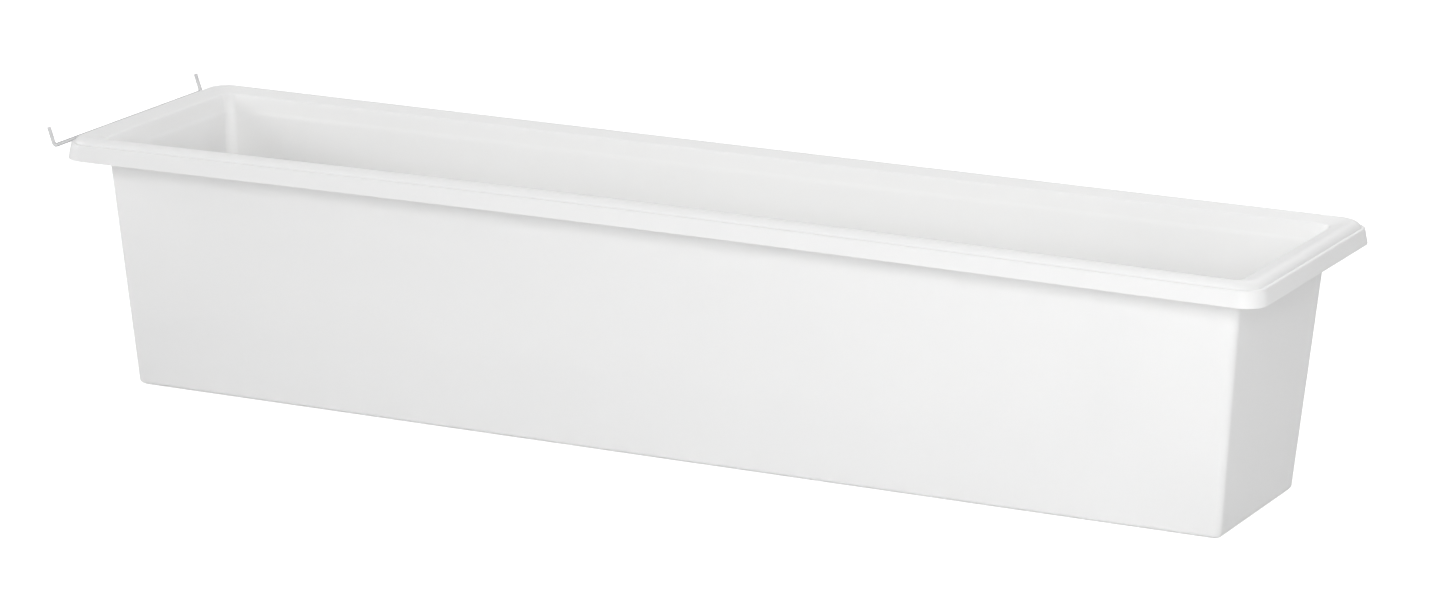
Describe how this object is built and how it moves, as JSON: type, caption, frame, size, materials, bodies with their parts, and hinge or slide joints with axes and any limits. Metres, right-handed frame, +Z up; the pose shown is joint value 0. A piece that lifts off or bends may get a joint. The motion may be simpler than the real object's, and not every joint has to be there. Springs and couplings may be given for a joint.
{
  "type": "self watering planter",
  "caption": "Long tapered plastic trough with a rolled rim, a raised false floor over a water reservoir, filler, water gauge and wire hanger.",
  "frame": {"origin": "centre of the trough's flat underside", "axes": "+X along the trough away from the wire hanger's end, +Y from front to back, +Z up"},
  "size_m": [0.8127, 0.191, 0.1677],
  "materials": {
    "white_moulding": "smooth satin polypropylene",
    "insert_moulding": "dark recycled polypropylene with a fine moulded grain",
    "felt": "needled wick felt",
    "fleece": "thin spun-bonded fleece",
    "clear_plastic": "clear polystyrene",
    "float_foam": "closed-cell foam",
    "marker_red": "glossy",
    "seal_rubber": "matt",
    "zinc_wire": "bright zinc-plated drawn wire"
  },
  "bodies": {
    "trough": {"trough": "white_moulding"},
    "insert_left": {"floor_panel_left": "insert_moulding", "wick_cups_left": "insert_moulding", "cup_felts_left": "felt", "fleece_left": "fleece", "gauge_tube": "insert_moulding", "gauge_lens": "clear_plastic"},
    "insert_right": {"floor_panel_right": "insert_moulding", "wick_cups_right": "insert_moulding", "cup_felts_right": "felt", "fleece_right": "fleece", "filler_tube": "insert_moulding", "cap_pin": "zinc_wire"},
    "filler_cap": {"filler_cap": "insert_moulding"},
    "gauge_float": {"gauge_float": "float_foam", "gauge_rod": "float_foam", "gauge_marker": "marker_red"},
    "overflow_plug": {"overflow_plug": "insert_moulding", "plug_seal": "seal_rubber"},
    "hanger": {"hanger_bar": "zinc_wire", "hanger_loop": "zinc_wire"}
  },
  "joints": [
    {"name": "left_lift", "type": "slide", "parent": "trough", "child": "insert_left", "axis": [0, 0, 1], "range_m": [0, 0.17]},
    {"name": "right_lift", "type": "slide", "parent": "trough", "child": "insert_right", "axis": [0, 0, 1], "range_m": [0, 0.17]},
    {"name": "cap_hinge", "type": "hinge", "parent": "insert_right", "child": "filler_cap", "pos_m": [0.3, -0.0319, 0.14065], "axis": [-1, 0, 0], "range_deg": [0, 110]},
    {"name": "float_rise", "type": "slide", "parent": "insert_left", "child": "gauge_float", "axis": [0, 0, 1], "range_m": [0, 0.03]},
    {"name": "plug_turn", "type": "hinge", "parent": "trough", "child": "overflow_plug", "pos_m": [-0.185, 0, 0.02], "axis": [0, 0, 1], "range_deg": [0, 90]},
    {"name": "hanger_swing", "type": "hinge", "parent": "trough", "child": "hanger", "pos_m": [-0.39, 0, 0.153], "axis": [0, -1, 0], "range_deg": [0, 90]}
  ]
}
